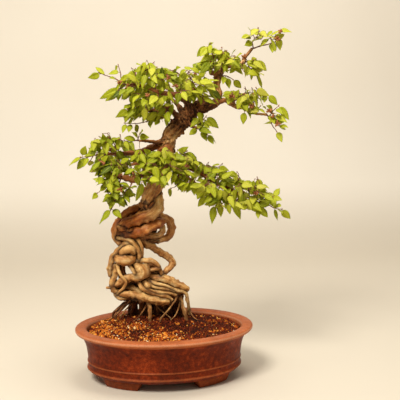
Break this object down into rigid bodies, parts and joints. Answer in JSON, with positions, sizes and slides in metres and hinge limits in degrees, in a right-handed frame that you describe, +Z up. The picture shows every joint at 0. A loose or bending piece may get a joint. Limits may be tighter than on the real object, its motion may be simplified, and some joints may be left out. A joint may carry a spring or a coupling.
{
  "type": "bonsai tree",
  "caption": "Potted bonsai: coiled bare roots and a leaning trunk carry toothed green leaves on spreading branches, in granular soil in an oval clay pot on low feet.",
  "frame": {"origin": "the point on the floor under the middle of the whole object's box", "axes": "+Z up, +X along the pot's long side towards the side where the branches reach farthest, -Y towards the pot's front"},
  "size_m": [0.4396, 0.257, 0.6848],
  "materials": {
    "fired_clay": "unglazed red-brown clay with a faint sheen",
    "dark_plastic": "matte",
    "soil_granules": "mixed red-brown, orange and cream granules",
    "bark": "dry tan bark, darker at the bend and at the soil",
    "leaf_green": "soft yellow-green leaves with raised side veins"
  },
  "bodies": {
    "root": {"pot": "fired_clay", "drain_mesh_left": "dark_plastic", "drain_mesh_right": "dark_plastic", "soil": "soil_granules", "trunk_roots_branches": "bark", "spray_crown_tip": "leaf_green", "spray_crown_right": "leaf_green", "spray_crown_left": "leaf_green", "spray_crown_front": "leaf_green", "spray_crown_middle": "leaf_green", "spray_crown_under": "leaf_green", "spray_crown_back": "leaf_green", "spray_right_upper": "leaf_green", "spray_right_middle": "leaf_green", "spray_right_under": "leaf_green", "spray_right_tip": "leaf_green", "spray_trunk_right": "leaf_green", "spray_upper_left_tip": "leaf_green", "spray_upper_left_low": "leaf_green", "spray_upper_left_top": "leaf_green", "spray_upper_middle": "leaf_green", "spray_upper_front": "leaf_green", "spray_upper_face": "leaf_green", "spray_upper_top": "leaf_green", "spray_upper_back": "leaf_green", "spray_lower_left": "leaf_green", "spray_lower_left_twig": "leaf_green", "spray_lower_middle": "leaf_green", "spray_left_top": "leaf_green", "spray_left_ridge": "leaf_green", "spray_left_tip": "leaf_green", "spray_left_front": "leaf_green", "spray_left_under": "leaf_green", "spray_left_hanging": "leaf_green", "spray_left_inner": "leaf_green", "spray_front_left": "leaf_green", "spray_front_top": "leaf_green", "spray_front_low": "leaf_green", "spray_front_face": "leaf_green", "spray_front_right": "leaf_green", "spray_front_under": "leaf_green", "spray_right_shoulder": "leaf_green", "spray_low_right_top": "leaf_green", "spray_low_right_shoulder": "leaf_green", "spray_low_right_ridge": "leaf_green", "spray_low_right_slope": "leaf_green", "spray_low_right_face": "leaf_green", "spray_low_right_front": "leaf_green", "spray_low_right_middle": "leaf_green", "spray_low_right_lower": "leaf_green", "spray_low_right_crest": "leaf_green", "spray_low_right_peak": "leaf_green", "spray_low_right_tip": "leaf_green", "spray_left_back": "leaf_green", "spray_middle_back": "leaf_green", "spray_right_back": "leaf_green"}
  },
  "joints": []
}
